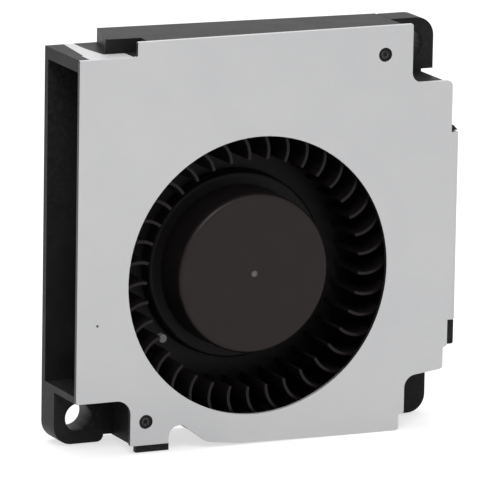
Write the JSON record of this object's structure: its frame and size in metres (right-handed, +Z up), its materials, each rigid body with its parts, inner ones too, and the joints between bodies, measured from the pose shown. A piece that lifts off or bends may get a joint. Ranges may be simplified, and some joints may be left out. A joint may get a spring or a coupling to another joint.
{
  "type": "dc blower fan",
  "caption": "Flat square centrifugal blower: a metal cover with a round inlet over a black scroll casing, a side outlet, diagonal mounting ears and a bladed wheel that spins on ball bearings.",
  "frame": {"origin": "middle of the bounding box at its bottom, with the fan standing upright on its lower edge", "axes": "+Z up, -Y out of the inlet (the metal cover faces -Y), -X out of the outlet, +Y out of the rear wall"},
  "size_m": [0.07, 0.015, 0.07],
  "materials": {
    "casing_plastic": "moulded black plastic with a fine matt grain",
    "cover_sheet": "pale grey plated sheet, satin, edges sheared",
    "pin_plastic": "black plastic, heads formed by heat",
    "wheel_plastic": "dark grey-brown moulded plastic, satin",
    "brass": "turned brass",
    "lamination": "stacked electrical steel",
    "insulator": "cream moulded plastic",
    "copper": "enamelled copper wire",
    "tin": "tin plate",
    "board": "green laminate",
    "chip": "black epoxy",
    "ceramic": "fired ceramic",
    "label_film": "plain matt film",
    "bearing_steel": "ground steel",
    "ball_steel": "polished steel",
    "cage_brass": "pressed brass",
    "cup_steel": "drawn steel, zinc plated",
    "magnet": "rubber-bonded ferrite",
    "shaft_steel": "ground and polished steel",
    "spring_steel": "spring wire",
    "clip_steel": "blackened spring steel",
    "putty": "cured balancing putty"
  },
  "bodies": {
    "casing": {"housing": "casing_plastic", "top_cover": "cover_sheet", "cover_pins": "pin_plastic", "bearing_tube": "brass", "stator_core": "lamination", "front_insulator": "insulator", "rear_insulator": "insulator", "windings": "copper", "winding_pins": "tin", "circuit_board": "board", "hall_sensor": "chip", "driver_chip": "chip", "capacitor": "ceramic", "resistors": "chip", "solder_pads": "tin", "rear_label": "label_film", "front_outer_race": "bearing_steel", "rear_outer_race": "bearing_steel", "front_bearing_shields": "bearing_steel", "rear_bearing_shields": "bearing_steel"},
    "rotor": {"impeller": "wheel_plastic", "rotor_cup": "cup_steel", "magnet_ring": "magnet", "shaft": "shaft_steel", "shaft_bush": "brass", "front_inner_race": "bearing_steel", "rear_inner_race": "bearing_steel", "preload_spring": "spring_steel", "retaining_ring": "clip_steel", "balance_putty": "putty"},
    "front_ball_set": {"front_balls": "ball_steel", "front_cage": "cage_brass"},
    "rear_ball_set": {"rear_balls": "ball_steel", "rear_cage": "cage_brass"}
  },
  "joints": [
    {"name": "rotor_spin", "type": "hinge", "parent": "casing", "child": "rotor", "pos_m": [-0.002, 0, 0.0289], "axis": [0, -1, 0], "continuous": true},
    {"name": "front_ball_orbit", "type": "hinge", "parent": "casing", "child": "front_ball_set", "pos_m": [-0.002, 0, 0.0289], "axis": [0, -1, 0], "continuous": true},
    {"name": "rear_ball_orbit", "type": "hinge", "parent": "casing", "child": "rear_ball_set", "pos_m": [-0.002, 0, 0.0289], "axis": [0, -1, 0], "continuous": true}
  ],
  "couplings": [
    {"joint": "front_ball_orbit", "follows": "rotor_spin", "ratio": 0.39091},
    {"joint": "rear_ball_orbit", "follows": "rotor_spin", "ratio": 0.39091}
  ]
}
